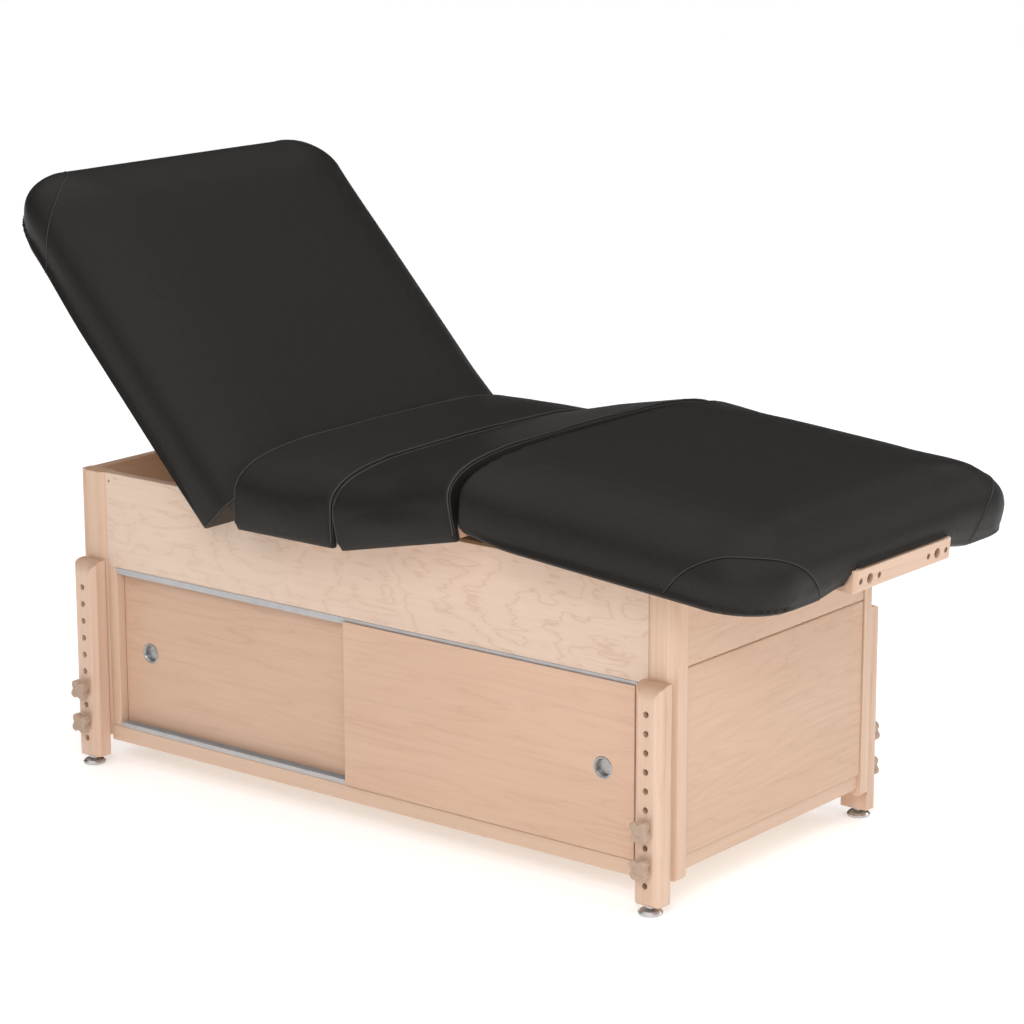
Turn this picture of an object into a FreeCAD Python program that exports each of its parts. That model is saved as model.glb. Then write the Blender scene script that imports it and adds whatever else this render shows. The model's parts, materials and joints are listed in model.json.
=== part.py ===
"""Stationary massage table: a maple cabinet on four height-setting legs carries a padded top in four sections.

Frame, in millimetres: +X points to the foot end, -Y to the near long side, +Z up. Everything is drawn about
the middle of the cabinet, with the top's sections lying flat. The sections are then turned about their hinges
into the raised setting. At the end the whole table is moved along X, so that the origin lies on the floor
under the middle of its overall length.
"""
import FreeCAD, Part
import math
import os

V = FreeCAD.Vector
os.makedirs("parts", exist_ok=True)

# Height setting of the legs
HOLE_PITCH = 32.0
HOLE_COUNT = 10
HOLE_COLUMNS = 1275.0
HOLE_TOP_DROP = 48.0
KNOB_HOLES = (6, 8)
LEG_WIDTH = 54.0
LEG_DEPTH = 35.0
LEG_LENGTH = 371.0
LEG_FACE = 32.0
LEG_NOSE = 26.0
LEG_FRONT = 328.0
LEG_SLIDE_GAP = 0.2
BOLT_R = 4.75
HOLE_CLEAR = 0.35
RUN_FIT = 0.05
INSERT_R = 7.0
INSERT_LONG = 22.0
# Glides under the legs
GLIDE_R = 20.5
GLIDE_HEIGHT = 17.0
GLIDE_STEM_R = 4.0
GLIDE_STEM = 22.0
# Knobs
KNOB_R = 20.0
KNOB_WAIST = 13.6
KNOB_TURN = 52.0
LOBE_R = 8.0
KNOB_THICK = 15.0
KNOB_HUB = 6.0
# Cabinet
BASE_TOP = 552.0
RIM_GAP = 0.3
POST_LOW = 53.0
POST_DEPTH = 32.0
POST_END = 672.0
POST_STEP = 8.0
APRON_SET = 7.0
BOARD = 18.0
TRACK_TOP = 376.0
TRACK_LIP = 11.0
TRACK_WALL = 1.6
TRACK_WIDTH = 34.0
SILL_LIP = 8.0
RAIL_LOW = 44.0
RAIL_HIGH = 74.0
JAMB = 22.0
DOOR_THICK = 12.0
DOOR_GAP = 1.4
DOOR_SEAT = 0.2
DOOR_SPLIT = -36.0
DOOR_FACE = 4.0
DOOR_LAP = 50.0
LAP_GAP = 0.8
PULL_R = 19.0
PULL_CUP = 9.0
PULL_INSET = 63.0
PULL_HEIGHT = 220.0
END_BOARD = 16.0
END_SET = 3.0
END_JOINT = 408.0
END_RAIL_LOW = 65.0
END_RAIL_HIGH = 93.0
END_RAIL_SET = 5.0
FLOOR_LOW = 58.0
FLOOR_THICK = 12.0
CROSS_WIDTH = 36.0
CROSS_DEPTH = 52.0
# Padded top, lying flat
TOP_HALF = 400.0
TOP_Z = 666.0
SKIRT = 22.0
REST_SKIRT = 5.0
DECK = 12.0
DECK_IN = 21.0
BATTEN = 54.0
BATTEN_HIGH = 18.0
SEAM_GAP = 3.4
BACK_LENGTH = 710.0
SEAT_LENGTH = 222.0
SEAT_REAR = -185.0
KNEE_LENGTH = 257.7
REST_LENGTH = 596.0
CORNER_R = 105.0
REST_ROUND = 22.0
FOLD_SLANT = 7.5
# Hinges, as distances from the section's hinge end and above the cabinet's top edge
BACK_PIVOT_IN = 51.4
BACK_PIVOT_UP = 54.0
KNEE_PIVOT_IN = 13.2
KNEE_PIVOT_UP = 35.0
BACK_ANGLE = 47.0
KNEE_ANGLE = 12.3
REST_DROP = 4.7
KNEE_MOST = 15.0
ARM_PLATE = 6.0
ARM_GAP = 0.3
ARM_HALF = 12.0
PIVOT_R = 6.0
BACK_HEAD_R = 20.0
KNEE_HEAD_R = 15.0
BACK_ARM = 190.0
KNEE_ARM = 150.0
LEAF = 1.6
LEAF_WIDE = 40.0
LEAF_LONG = 640.0
KNUCKLES = 9
KNUCKLE_R = 4.0
LEAF_PIN_R = 2.0
# Links that carry the leg section
LINK_AT_X = 480.0
LINK_DROP = 22.0
LINK_SIDE = 200.0
LINK_PLATE = 6.0
LINK_HALF = 9.0
LINK_PIN_R = 5.0
LINK_PLAY = 0.5
# Outlet board for a face rest
OUTLET_LONG = 290.0
OUTLET_HIGH = 38.0
OUTLET_DEEP = 38.0
OUTLET_FACE = 911.0
OUTLET_MID_UP = 6.0
OUTLET_SPACING = 202.0
OUTLET_R = 8.5
ROD_ROOM = 42.0
ROD_PLAY = 1.5
SCREW_R = 2.5

# Sizes that follow from the driving ones
LEG_X = HOLE_COLUMNS / 2.0
LEG_BACK = LEG_FRONT - LEG_DEPTH
LEG_LOW = GLIDE_HEIGHT
LEG_HIGH = LEG_LOW + LEG_LENGTH
GLIDE_Y = -(LEG_FRONT + LEG_BACK) / 2.0
HOLE_HIGH = LEG_HIGH - HOLE_TOP_DROP
KNOB_Z = [HOLE_HIGH - HOLE_PITCH * n for n in KNOB_HOLES]
RIM_TOP = BASE_TOP - RIM_GAP
POST_IN = LEG_X - LEG_WIDTH / 2.0 + 1.0
POST_REAR = LEG_BACK - POST_DEPTH
APRON_OUT = LEG_BACK - APRON_SET
APRON_IN = APRON_OUT - BOARD
TRACK_OUT = APRON_OUT + 1.0
TRACK_IN = TRACK_OUT - TRACK_WIDTH
SLOT_MID = TRACK_OUT - TRACK_WIDTH / 2.0
DOOR_FRONT = (TRACK_OUT - TRACK_WALL + SLOT_MID + TRACK_WALL / 2.0) / 2.0
DOOR_REAR = (TRACK_IN + TRACK_WALL + SLOT_MID - TRACK_WALL / 2.0) / 2.0
DOOR_LOW = RAIL_HIGH + TRACK_WALL + DOOR_SEAT
DOOR_HIGH = TRACK_TOP - TRACK_WALL - DOOR_GAP
JAMB_IN = POST_IN - JAMB
DOOR_END = JAMB_IN - 1.0
END_OUT = POST_END - END_SET
END_IN = END_OUT - END_BOARD
SKIRT_LOW = BASE_TOP - SKIRT
REST_LOW = BASE_TOP - REST_SKIRT
DECK_TOP = BASE_TOP + DECK
DECK_HALF = TOP_HALF - DECK_IN
DECK_ROUND = CORNER_R - 10.0
POCKET = DECK_HALF + 0.5
WELL = APRON_OUT + 28.0
EAR_OUT = APRON_IN + 2.0
EAR_IN = APRON_IN - 2 * ARM_PLATE - 4.0
SEAT_FRONT = SEAT_REAR + SEAT_LENGTH
BACK_FOOT = SEAT_REAR - SEAM_GAP
BACK_HEAD = BACK_FOOT - BACK_LENGTH
KNEE_REAR = SEAT_FRONT + SEAM_GAP
KNEE_FRONT = KNEE_REAR + KNEE_LENGTH
REST_REAR = KNEE_FRONT + SEAM_GAP
REST_FOOT = REST_REAR + REST_LENGTH
BACK_PIVOT = V(BACK_FOOT - BACK_PIVOT_IN, 0, BASE_TOP + BACK_PIVOT_UP)
KNEE_PIVOT = V(KNEE_REAR + KNEE_PIVOT_IN, 0, BASE_TOP + KNEE_PIVOT_UP)
REST_PIVOT = V((KNEE_FRONT + REST_REAR) / 2.0, 0, DECK_TOP + LEAF / 2.0)
REST_RATIO = (KNEE_ANGLE + REST_DROP) / KNEE_ANGLE
CORNERS = [("head_near", -1, -1), ("foot_near", 1, -1), ("head_far", -1, 1), ("foot_far", 1, 1)]
NODES = {}


def box(x0, x1, y0, y1, z0, z1):
    return Part.makeBox(x1 - x0, y1 - y0, z1 - z0, V(x0, y0, z0))


def prism(points, along):
    wire = Part.makePolygon(points + [points[0]])
    return Part.Face(wire).extrude(along)


def rod(r, start, along):
    return Part.makeCylinder(r, along.Length, start, along)


def line(a, b):
    return Part.LineSegment(a, b).toShape()


def arc(a, through, b):
    return Part.Arc(a, through, b).toShape()


def fuse(shapes):
    return shapes[0].multiFuse(shapes[1:]).removeSplitter()


def cut_all(shape, tools):
    return shape.cut(Part.makeCompound(tools))


def eased(shape, size, keep):
    """The shape with a small chamfer on the edges whose bounding box keep accepts."""
    edges = [e for e in shape.Edges if keep(e.BoundBox)]
    return shape.makeChamfer(size, edges)


def near_to(a, b):
    return abs(a - b) < 0.01


def corner(shape, e, s):
    """The shape drawn for the foot end's near corner, mirrored to another corner."""
    out = shape.copy()
    if e < 0:
        out = out.mirror(V(0, 0, 0), V(1, 0, 0))
    if s > 0:
        out = out.mirror(V(0, 0, 0), V(0, 1, 0))
    return out


def turned(shape):
    """The near side's piece, placed on the far side by half a turn about the vertical."""
    out = shape.copy()
    out.rotate(V(0, 0, 0), V(0, 0, 1), 180)
    return out


def both_sides(shape):
    return [shape, shape.mirror(V(0, 0, 0), V(0, 1, 0))]


def raised_back(shape):
    out = shape.copy()
    out.rotate(BACK_PIVOT, V(0, 1, 0), BACK_ANGLE)
    return out


def raised_knee(shape, angle=KNEE_ANGLE):
    out = shape.copy()
    out.rotate(KNEE_PIVOT, V(0, 1, 0), -angle)
    return out


def raised_rest(shape, angle=KNEE_ANGLE):
    out = shape.copy()
    out.rotate(REST_PIVOT, V(0, 1, 0), REST_RATIO * angle)
    out.rotate(KNEE_PIVOT, V(0, 1, 0), -angle)
    return out


def node(name, shapes):
    solids = shapes if isinstance(shapes, list) else [shapes]
    NODES[name] = solids[0] if len(solids) == 1 else Part.makeCompound(solids)


# Corner posts: moulded maple uprights, with a chamfered face that the leg slides on and two bushed bolt holes
face_half = LEG_FACE / 2.0
post_face = -LEG_BACK + POST_STEP
outline = [V(POST_IN, -POST_REAR, POST_LOW), V(POST_IN, post_face, POST_LOW),
           V(LEG_X - face_half, -LEG_BACK, POST_LOW), V(LEG_X + face_half, -LEG_BACK, POST_LOW),
           V(LEG_X + face_half + POST_STEP, post_face, POST_LOW), V(POST_END - 2.0, post_face, POST_LOW),
           V(POST_END, post_face + 2.0, POST_LOW), V(POST_END, -POST_REAR, POST_LOW)]
post = prism(outline, V(0, 0, RIM_TOP - POST_LOW))
foot_cut = prism([V(POST_END + 1, -LEG_FRONT, POST_LOW - 1), V(POST_END + 1, -LEG_FRONT, POST_LOW + 7),
                  V(POST_END - 7, -LEG_FRONT, POST_LOW - 1)], V(0, LEG_FRONT, 0))
post = post.cut(foot_cut)
insert_start = -LEG_BACK + 0.4
for z in KNOB_Z:
    post = post.cut(rod(INSERT_R, V(LEG_X, -LEG_BACK - 1, z), V(0, INSERT_LONG + 1.4, 0)))
node("corner_posts", [corner(post, e, s) for label, e, s in CORNERS])

# Threaded inserts: steel bushes pressed into the posts, which take the knobs' bolts
bush = rod(INSERT_R, V(0, 0, 0), V(0, INSERT_LONG, 0))
bush = bush.cut(rod(BOLT_R + RUN_FIT, V(0, -1, 0), V(0, INSERT_LONG + 2, 0)))
bushes = []
for label, e, s in CORNERS:
    for z in KNOB_Z:
        placed = bush.copy()
        placed.translate(V(LEG_X, insert_start, z))
        bushes.append(corner(placed, e, s))
node("threaded_inserts", bushes)

# Legs: chamfered maple uprights, with a row of holes and a rounded nose at the top, that slide on the posts
leg_rear = -LEG_BACK - LEG_SLIDE_GAP
half = LEG_WIDTH / 2.0
bevel = half - face_half
plan = [V(LEG_X - half, leg_rear, LEG_LOW), V(LEG_X - half, -LEG_FRONT + bevel, LEG_LOW),
        V(LEG_X - face_half, -LEG_FRONT, LEG_LOW), V(LEG_X + face_half, -LEG_FRONT, LEG_LOW),
        V(LEG_X + half, -LEG_FRONT + bevel, LEG_LOW), V(LEG_X + half, leg_rear, LEG_LOW)]
stick = prism(plan, V(0, 0, LEG_LENGTH))
at45 = LEG_NOSE * (1.0 - math.sqrt(0.5))
low = V(0, -LEG_FRONT + 4, LEG_LOW)
front_low = V(0, -LEG_FRONT, LEG_LOW + 5)
front_high = V(0, -LEG_FRONT, LEG_HIGH - LEG_NOSE)
nose = V(0, -LEG_FRONT + at45, LEG_HIGH - at45)
top_front = V(0, -LEG_FRONT + LEG_NOSE, LEG_HIGH)
top_rear = V(0, leg_rear, LEG_HIGH)
low_rear = V(0, leg_rear, LEG_LOW)
side = Part.Wire([line(low, front_low), line(front_low, front_high), arc(front_high, nose, top_front),
                  line(top_front, top_rear), line(top_rear, low_rear), line(low_rear, low)])
side_block = Part.Face(side).extrude(V(LEG_WIDTH + 4, 0, 0))
side_block.translate(V(LEG_X - half - 2, 0, 0))
leg = stick.common(side_block)
for n in range(HOLE_COUNT):
    hole_at = V(LEG_X, -LEG_FRONT - 1, HOLE_HIGH - HOLE_PITCH * n)
    leg = leg.cut(rod(BOLT_R + HOLE_CLEAR, hole_at, V(0, LEG_DEPTH + 2, 0)))
leg = leg.cut(rod(GLIDE_STEM_R + RUN_FIT, V(LEG_X, GLIDE_Y, LEG_LOW - 1), V(0, 0, GLIDE_STEM + 3)))
for label, e, s in CORNERS:
    node("leg_" + label, corner(leg, e, s))

# Levelling glides: turned discs on threaded stems, with a jam nut under the leg
nut_top = LEG_LOW - 0.2
stem_top = LEG_LOW + GLIDE_STEM
profile = [(0, 0), (GLIDE_R - 1.5, 0), (GLIDE_R, 1.5), (GLIDE_R, 4.5), (GLIDE_R - 3.5, 8), (9, 9.5),
           (5.5, 9.5), (5.5, 12), (8.5, 12), (8.5, nut_top), (GLIDE_STEM_R, nut_top),
           (GLIDE_STEM_R, stem_top), (0, stem_top)]
ring = Part.makePolygon([V(r, 0, z) for r, z in profile + profile[:1]])
glide = Part.Face(ring).revolve(V(0, 0, 0), V(0, 0, 1), 360)
glide.translate(V(LEG_X, GLIDE_Y, 0))
for label, e, s in CORNERS:
    node("glide_" + label, corner(glide, e, s))

# Star knobs: moulded four-lobed heads with a steel stud that passes through a leg hole into a post's insert
lobe_out = KNOB_R - LOBE_R
diagonal = math.sqrt(2.0) * lobe_out
hollow_r = LOBE_R ** 2 - KNOB_WAIST ** 2 - lobe_out ** 2 + diagonal * KNOB_WAIST
hollow_r /= 2 * KNOB_WAIST - diagonal - 2 * LOBE_R
hollow_out = KNOB_WAIST + hollow_r


def polar(r, degrees):
    a = math.radians(degrees)
    return V(r * math.cos(a), 0, r * math.sin(a))


edges = []
for n in range(4):
    middle = KNOB_TURN + 90 * n
    lobe = polar(lobe_out, middle)
    hollows = [polar(hollow_out, middle + side) for side in (-45, 45)]
    joins = [lobe + (h - lobe).normalize() * LOBE_R for h in hollows]
    edges.append(arc(joins[0], polar(KNOB_R, middle), joins[1]))
    following = polar(lobe_out, middle + 90)
    next_join = following + (hollows[1] - following).normalize() * LOBE_R
    edges.append(arc(joins[1], polar(KNOB_WAIST, middle + 45), next_join))
star = Part.Face(Part.Wire(edges)).extrude(V(0, -KNOB_THICK, 0))
star = eased(star, 2.0, lambda b: b.YLength < 0.01)
knob = star.cut(rod(8.5, V(0, -KNOB_THICK + 0.8, 0), V(0, -2, 0)))
hub_back = -LEG_FRONT - 0.3
stud_end = insert_start + INSERT_LONG - 1.0
knob.translate(V(0, hub_back - KNOB_HUB, 0))
hub = Part.makeCone(9.5, 12.5, KNOB_HUB + 0.5, V(0, hub_back, 0), V(0, -1, 0))
stud = rod(BOLT_R, V(0, hub_back - KNOB_HUB, 0), V(0, stud_end - hub_back + KNOB_HUB, 0))
knob = fuse([knob, hub, stud])
for label, e, s in CORNERS:
    for level, z in zip(("upper", "lower"), KNOB_Z):
        placed = knob.copy()
        placed.translate(V(LEG_X, 0, z))
        node("knob_%s_%s" % (label, level), corner(placed, e, s))

# Long aprons: tall birch-ply boards between the posts, with a small bored hole near each upper corner
apron = box(-POST_IN, POST_IN, -APRON_OUT, -APRON_IN, TRACK_TOP, RIM_TOP)
apron = eased(apron, 1.0, lambda b: near_to(b.ZMin, RIM_TOP) and b.XLength > POST_IN)
for e in (-1, 1):
    apron = apron.cut(rod(2.2, V(e * (POST_IN - 9), -APRON_OUT - 1, BASE_TOP - 16), V(0, 10, 0)))
node("side_aprons", [apron, turned(apron)])

# Head and foot boards: upper apron and lower panel meet in a vee joint above a set-back bottom rail
upper = box(END_IN, END_OUT, -POST_REAR, POST_REAR, END_JOINT, RIM_TOP)
upper = eased(upper, 2.0, lambda b: near_to(b.ZMax, END_JOINT) and near_to(b.XMin, END_OUT))
upper = eased(upper, 1.0, lambda b: near_to(b.ZMin, RIM_TOP) and b.XLength < 0.01)
lower = box(END_IN, END_OUT, -POST_REAR, POST_REAR, END_RAIL_HIGH, END_JOINT)
lower = eased(lower, 2.0, lambda b: near_to(b.ZMin, END_JOINT) and near_to(b.XMin, END_OUT))
node("end_aprons", [upper, turned(upper)])
node("end_panels", [lower, turned(lower)])

# Bottom rails: maple rails between the posts on all four sides
rail = box(-POST_IN, POST_IN, -TRACK_OUT, -TRACK_IN, RAIL_LOW, RAIL_HIGH)
rail = eased(rail, 2.0, lambda b: near_to(b.YMax, -TRACK_OUT) and b.XLength > POST_IN)
rail_face = END_OUT - END_RAIL_SET
rail_end = box(END_IN - 14, rail_face, -POST_REAR, POST_REAR, END_RAIL_LOW, END_RAIL_HIGH)
rail_end = eased(rail_end, 1.5, lambda b: near_to(b.ZMax, END_RAIL_LOW) and near_to(b.XMin, rail_face))
node("bottom_rails", [rail, turned(rail), rail_end, turned(rail_end)])

# Cabinet floor and cabinet top: ply panels that close the storage bay
floor_end = END_IN - 14.2
node("cabinet_floor", box(-floor_end, floor_end, -TRACK_IN, TRACK_IN, FLOOR_LOW, FLOOR_LOW + FLOOR_THICK))
lid = box(-END_IN, END_IN, -APRON_IN, APRON_IN, TRACK_TOP, TRACK_TOP + FLOOR_THICK)
post_room = box(POST_IN, POST_END, -LEG_BACK, -POST_REAR, POST_LOW, BASE_TOP)
node("cabinet_top", cut_all(lid, [corner(post_room, e, s) for label, e, s in CORNERS]))

# Door jambs: upright strips beside the posts that the closed doors meet
jamb = box(JAMB_IN, POST_IN, -TRACK_OUT + 2, -TRACK_IN, RAIL_HIGH, TRACK_TOP)
node("door_jambs", [corner(jamb, e, s) for label, e, s in CORNERS])


def track(z0, z1, web):
    """Two-channel section between z0 and z1, with its web at height web."""
    plate = box(-JAMB_IN, JAMB_IN, -TRACK_OUT, -TRACK_IN, web, web + TRACK_WALL)
    walls = (TRACK_OUT - TRACK_WALL, SLOT_MID - TRACK_WALL / 2, TRACK_IN)
    lips = [box(-JAMB_IN, JAMB_IN, -y - TRACK_WALL, -y, z0, z1) for y in walls]
    return fuse([plate] + lips)


# Door tracks: extruded aluminium, a two-channel head track and a lower sill track on each long side
head_track = track(TRACK_TOP - TRACK_LIP, TRACK_TOP, TRACK_TOP - TRACK_WALL)
sill_track = track(RAIL_HIGH, RAIL_HIGH + SILL_LIP, RAIL_HIGH)
node("door_tracks", [head_track, turned(head_track), sill_track, turned(sill_track)])


def door(x0, x1, y, pull_x, lapped):
    """Sliding door in the channel at y; a lapped one is rabbeted, so its face covers the tracks' lips."""
    slab = box(x0, x1, -y - DOOR_THICK / 2, -y + DOOR_THICK / 2, DOOR_LOW, DOOR_HIGH)
    face = -y - DOOR_THICK / 2
    if lapped:
        face = -TRACK_OUT - DOOR_FACE
        lip_low = TRACK_TOP - TRACK_LIP
        middle = box(x0, x1, face, -y, RAIL_HIGH + SILL_LIP + 2, lip_low - 2)
        skin = box(x0, x1, face, -TRACK_OUT - LAP_GAP, RAIL_HIGH + 0.6, lip_low + 5)
        slab = fuse([slab, middle, skin])
    slab = eased(slab, 0.8, lambda b: b.ZLength > 200 and near_to(b.YMin, face))
    return slab.cut(rod(PULL_R - 2.0, V(pull_x, face - 1, PULL_HEIGHT), V(0, 3 * DOOR_THICK, 0)))


def pull(face, pull_x):
    """Pressed metal cup with a thin rolled flange that lies on the door's face."""
    wall = [(0, PULL_CUP), (PULL_R - 4.5, PULL_CUP), (PULL_R - 3.2, 1.0), (PULL_R - 2.4, 0.0), (PULL_R, 0.0),
            (PULL_R, -0.5), (PULL_R - 1.0, -0.9), (PULL_R - 3.5, -0.5), (PULL_R - 5.0, 1.5),
            (PULL_R - 6.0, PULL_CUP - 1.2), (0, PULL_CUP - 1.2)]
    ring = Part.makePolygon([V(r, d, 0) for r, d in wall + wall[:1]])
    cup = Part.Face(ring).revolve(V(0, 0, 0), V(0, 1, 0), 360)
    cup.translate(V(pull_x, face, PULL_HEIGHT))
    return cup


# Sliding doors and their pulls
pull_at = DOOR_END - PULL_INSET
front_door = door(DOOR_SPLIT, DOOR_END, DOOR_FRONT, pull_at, True)
rear_door = door(-DOOR_END, DOOR_SPLIT + DOOR_LAP, DOOR_REAR, -pull_at, False)
front_cup = pull(-TRACK_OUT - DOOR_FACE, pull_at)
rear_cup = pull(-DOOR_REAR - DOOR_THICK / 2, -pull_at)
for kind, front, rear in (("door", front_door, rear_door), ("pull", front_cup, rear_cup)):
    node(kind + "_near_front", front)
    node(kind + "_near_rear", rear)
    node(kind + "_far_front", turned(front))
    node(kind + "_far_rear", turned(rear))

# Loaf shape of the cushions: depth below the crown, and how far the side is drawn in there
LOAF = [(0.0, 330.0), (1.2, 240.0), (4.0, 165.0), (8.0, 120.0), (13.5, 85.0), (20.0, 58.0), (27.5, 38.0),
        (36.0, 23.0), (46.0, 11.5), (57.0, 4.5), (70.0, 1.0), (84.0, 0.0)]
HEM = [(0.0, 7.0), (12.0, 2.0)]


def end_wire(x0, x1, y, z, r, way):
    """Closed outline at height z: square at one end, with arcs of radius r at the end that way points to."""
    xs, xf = (x0, x1) if way > 0 else (x1, x0)
    k = r * (1 - math.sqrt(0.5))
    xr = xf - way * r
    xk = xf - way * k
    near = [V(xs, -y, z), V(xr, -y, z), V(xk, -y + k, z), V(xf, -y + r, z)]
    far = [V(p.x, -p.y, p.z) for p in near]
    return Part.Wire([line(near[0], near[1]), arc(near[1], near[2], near[3]), line(near[3], far[3]),
                      arc(far[3], far[2], far[1]), line(far[1], far[0]), line(far[0], near[0])])


def slab_with_round_end(x0, x1, y, z0, z1, r, way):
    return Part.Face(end_wire(x0, x1, y, z0, r, way)).extrude(V(0, 0, z1 - z0))


def loaf_rows(low):
    """Heights of a cushion from its hem upward, each with the side's draw-in."""
    hem = [(low + up, inset) for up, inset in HEM]
    return hem + [(TOP_Z - d, inset) for d, inset in reversed(LOAF) if TOP_Z - d > low + 20.0]


def end_cushion(low, x0, x1, way, draw_hinge):
    """Cushion with a square hinge end and a rounded free end, lofted through its outlines at each height."""
    wires = []
    for z, inset in loaf_rows(low):
        hinge = draw_hinge(z)
        free = free_end(z, low)
        a, b = (x0 + hinge, x1 - free) if way > 0 else (x0 + free, x1 - hinge)
        round_r = CORNER_R * max(0.25, 1.0 - inset / 150.0)
        wires.append(end_wire(a, b, TOP_HALF - inset, z, round_r, way))
    return Part.makeLoft(wires, True, True)


def middle_cushion(low, x0, x1):
    """Cushion between two hinges: one loaf outline, drawn through arcs, carried along the table."""
    edges = []
    ends = []
    for s in (-1, 1):
        side = [V(x0, s * (TOP_HALF - inset), z) for z, inset in loaf_rows(low)]
        start = 1 - len(side) % 2
        if start:
            edges.append(line(side[0], side[1]))
        for n in range(start, len(side) - 2, 2):
            edges.append(arc(side[n], side[n + 1], side[n + 2]))
        ends.append((side[0], side[-1]))
    edges.append(line(ends[0][0], ends[1][0]))
    edges.append(line(ends[0][1], ends[1][1]))
    outline = Part.Wire(Part.__sortEdges__(edges))
    return Part.Face(outline).extrude(V(x1 - x0, 0, 0))


def leaning_cut(x, way):
    """Wedge taken off a cushion end above the knee hinge, which gives the fold its vee."""
    high = TOP_Z + 2.0
    reach = (high - KNEE_PIVOT.z) * math.tan(math.radians(FOLD_SLANT))
    y = -TOP_HALF - 1
    wedge = [V(x + way, y, KNEE_PIVOT.z), V(x + way, y, high), V(x - way * reach, y, high),
             V(x, y, KNEE_PIVOT.z)]
    return prism(wedge, V(0, -2 * y, 0))


def free_end(z, low):
    """Draw-in of a free end: the same loaf, with a tighter crown and a tucked-under lower edge."""
    d = TOP_Z - z
    tuck = 6.0 * max(0.0, 1.0 - (z - low) / 14.0)
    for (d0, i0), (d1, i1) in zip(LOAF[:-1], LOAF[1:]):
        if d <= d1:
            return 0.55 * (i0 + (i1 - i0) * (d - d0) / (d1 - d0)) + tuck
    return tuck


def nose_end(z):
    """Draw-in of the back's hinge end, rounded about its pivot so that it clears the seat."""
    up = max(z - BACK_PIVOT.z, 0.0)
    round_off = BACK_PIVOT_IN - math.sqrt(max(BACK_PIVOT_IN ** 2 - up ** 2, 0.0))
    return round_off + max(0.0, up - BACK_PIVOT_IN + 0.5) * 1.5


def square_end(z):
    return 0.0


def ear_slots(x0, x1, top):
    return both_sides(box(x0, x1, -EAR_OUT, -EAR_IN, SKIRT_LOW - 1, top))


def battens(x0, x1):
    return both_sides(box(x0, x1, -DECK_HALF, -DECK_HALF + BATTEN, BASE_TOP - BATTEN_HIGH, BASE_TOP))


# Back section: cushion on a ply deck with side battens, and hinge slots at its lower end
back_deck_end = BACK_PIVOT.x
back_deck_head = BACK_HEAD + DECK_IN
back_slots = ear_slots(back_deck_end - 24, BACK_FOOT + 60, BACK_PIVOT.z + 24)
back_deck = slab_with_round_end(back_deck_head, back_deck_end, DECK_HALF, BASE_TOP, DECK_TOP, DECK_ROUND, -1)
back_deck = cut_all(back_deck, back_slots)
pad = end_cushion(SKIRT_LOW, BACK_HEAD, BACK_FOOT, -1, nose_end)
under = SKIRT_LOW - 1
pad = pad.cut(slab_with_round_end(back_deck_head - 0.5, back_deck_end, POCKET, under, DECK_TOP, DECK_ROUND, -1))
relief = box(back_deck_end - 1, BACK_FOOT + 5, -WELL, WELL, SKIRT_LOW - 1, BACK_PIVOT.z)
relief = relief.cut(rod(BACK_PIVOT_IN, BACK_PIVOT - V(0, WELL + 1, 0), V(0, 2 * WELL + 2, 0)))
pad = cut_all(pad.cut(relief), back_slots)
node("back_cushion", raised_back(pad))
node("back_deck", raised_back(back_deck))
node("back_battens", [raised_back(b) for b in battens(back_deck_head + DECK_ROUND, back_deck_end - 4)])

# Seat section: screwed down on the cabinet
pad = middle_cushion(SKIRT_LOW, SEAT_REAR, SEAT_FRONT).cut(leaning_cut(SEAT_FRONT, 1))
pad = pad.cut(box(SEAT_REAR - 1, SEAT_FRONT + 1, -POCKET, POCKET, SKIRT_LOW - 1, DECK_TOP))
node("seat_cushion", pad)
node("seat_deck", box(SEAT_REAR + 4, SEAT_FRONT - 4, -DECK_HALF, DECK_HALF, BASE_TOP, DECK_TOP))
node("seat_battens", battens(SEAT_REAR + 6, SEAT_FRONT - 6))

# Knee section
knee_deck_end = KNEE_PIVOT.x + 2.0
knee_deck_front = KNEE_FRONT - 3.0
knee_slots = ear_slots(KNEE_REAR - 5, KNEE_PIVOT.x + 22, KNEE_PIVOT.z + 20)
knee_deck = box(knee_deck_end, knee_deck_front, -DECK_HALF, DECK_HALF, BASE_TOP, DECK_TOP)
leaf_room = box(KNEE_FRONT - LEAF_WIDE - 3, REST_REAR + LEAF_WIDE + 3, -LEAF_LONG / 2 - 2, LEAF_LONG / 2 + 2,
                BASE_TOP - 8, DECK_TOP + LEAF + 0.4)
knuckle_room = rod(KNUCKLE_R + 2.5, REST_PIVOT - V(0, LEAF_LONG / 2 + 2, 0), V(0, LEAF_LONG + 4, 0))
pad = middle_cushion(SKIRT_LOW, KNEE_REAR, KNEE_FRONT).cut(leaning_cut(KNEE_REAR, -1))
pad = pad.cut(box(knee_deck_end, KNEE_FRONT + 1, -POCKET, POCKET, SKIRT_LOW - 1, DECK_TOP))
pad = pad.cut(box(KNEE_REAR - 1, knee_deck_end + 1, -WELL, WELL, SKIRT_LOW - 1, BASE_TOP + 5))
pad = cut_all(pad, knee_slots).cut(leaf_room).cut(knuckle_room)
node("knee_cushion", raised_knee(pad))
node("knee_deck", raised_knee(cut_all(knee_deck, knee_slots)))
node("knee_battens", [raised_knee(b) for b in battens(knee_deck_end + 4, KNEE_FRONT - 8)])

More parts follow.
